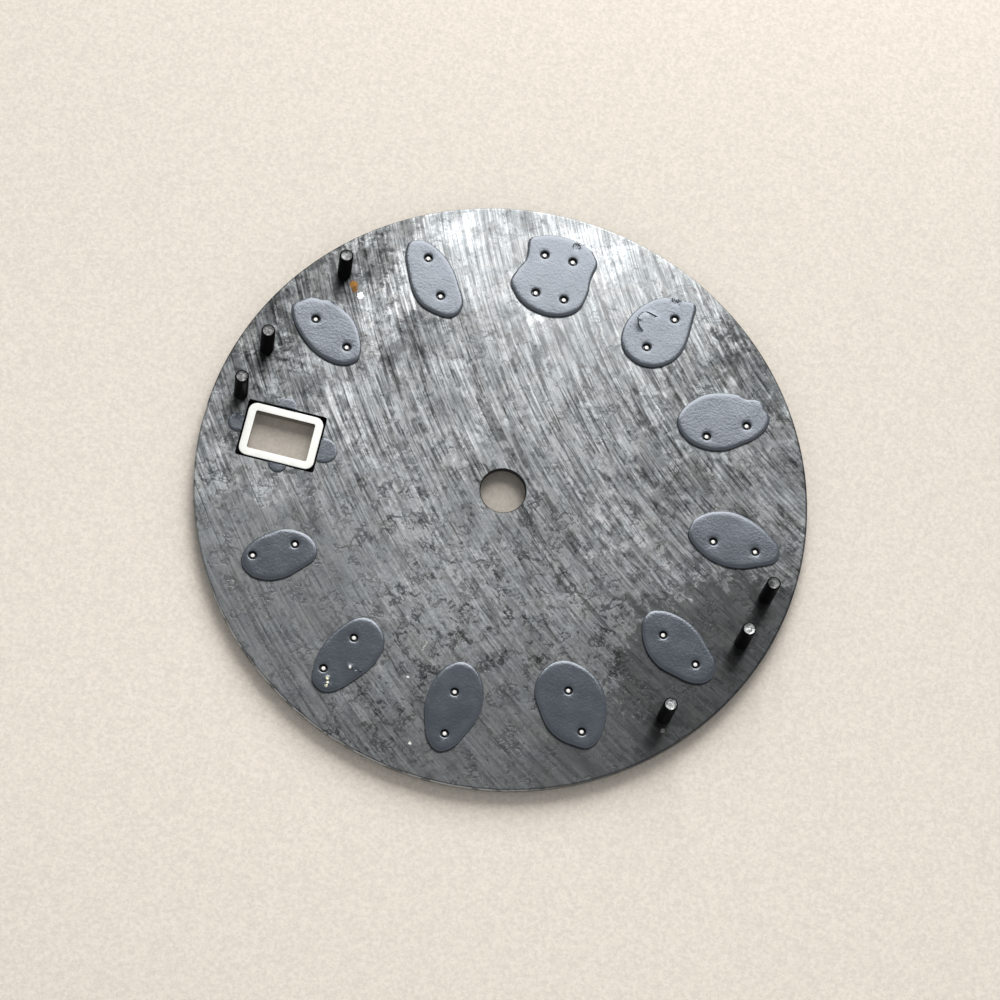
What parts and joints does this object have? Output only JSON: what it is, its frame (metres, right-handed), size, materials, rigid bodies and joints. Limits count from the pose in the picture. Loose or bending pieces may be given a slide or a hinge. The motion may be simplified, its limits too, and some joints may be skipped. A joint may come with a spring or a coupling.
{
  "type": "watch dial",
  "caption": "Round watch dial with applied baton markers, a framed date window at 3, adhesive pads over the marker feet and dial feet on its back.",
  "frame": {"origin": "on the axis of the centre hole, in the plane of the plate's back", "axes": "+Z out of the dial's back along the centre hole; +Y towards 12 o'clock; -X towards 3 o'clock and the date window, because the back is seen"},
  "size_m": [0.0285, 0.0284, 0.003],
  "materials": {
    "plate_metal": "coarsely brushed and stained back, black front",
    "frame_pale": "cream white lacquer",
    "foot_black": "blackened, ends cut bright",
    "marker_metal": "polished",
    "lume_pale": "matte luminous compound",
    "adhesive_grey": "satin cured adhesive"
  },
  "bodies": {
    "root": {"dial_plate": "plate_metal", "date_frame": "frame_pale", "dial_foot_1": "foot_black", "dial_foot_2": "foot_black", "dial_foot_3": "foot_black", "dial_foot_4": "foot_black", "dial_foot_5": "foot_black", "dial_foot_6": "foot_black", "marker_01": "marker_metal", "marker_02": "marker_metal", "marker_04": "marker_metal", "marker_05": "marker_metal", "marker_06": "marker_metal", "marker_07": "marker_metal", "marker_08": "marker_metal", "marker_09": "marker_metal", "marker_10": "marker_metal", "marker_11": "marker_metal", "marker_12_left": "marker_metal", "marker_12_right": "marker_metal", "lume_01": "lume_pale", "lume_02": "lume_pale", "lume_04": "lume_pale", "lume_05": "lume_pale", "lume_06": "lume_pale", "lume_07": "lume_pale", "lume_08": "lume_pale", "lume_09": "lume_pale", "lume_10": "lume_pale", "lume_11": "lume_pale", "lume_12_left": "lume_pale", "lume_12_right": "lume_pale", "glue_pad_01": "adhesive_grey", "glue_pad_02": "adhesive_grey", "glue_pad_04": "adhesive_grey", "glue_pad_05": "adhesive_grey", "glue_pad_06": "adhesive_grey", "glue_pad_07": "adhesive_grey", "glue_pad_08": "adhesive_grey", "glue_pad_09": "adhesive_grey", "glue_pad_10": "adhesive_grey", "glue_pad_11": "adhesive_grey", "glue_pad_12": "adhesive_grey", "glue_bead_right": "adhesive_grey", "glue_bead_top": "adhesive_grey", "glue_bead_left": "adhesive_grey", "glue_bead_bottom": "adhesive_grey"}
  },
  "joints": []
}
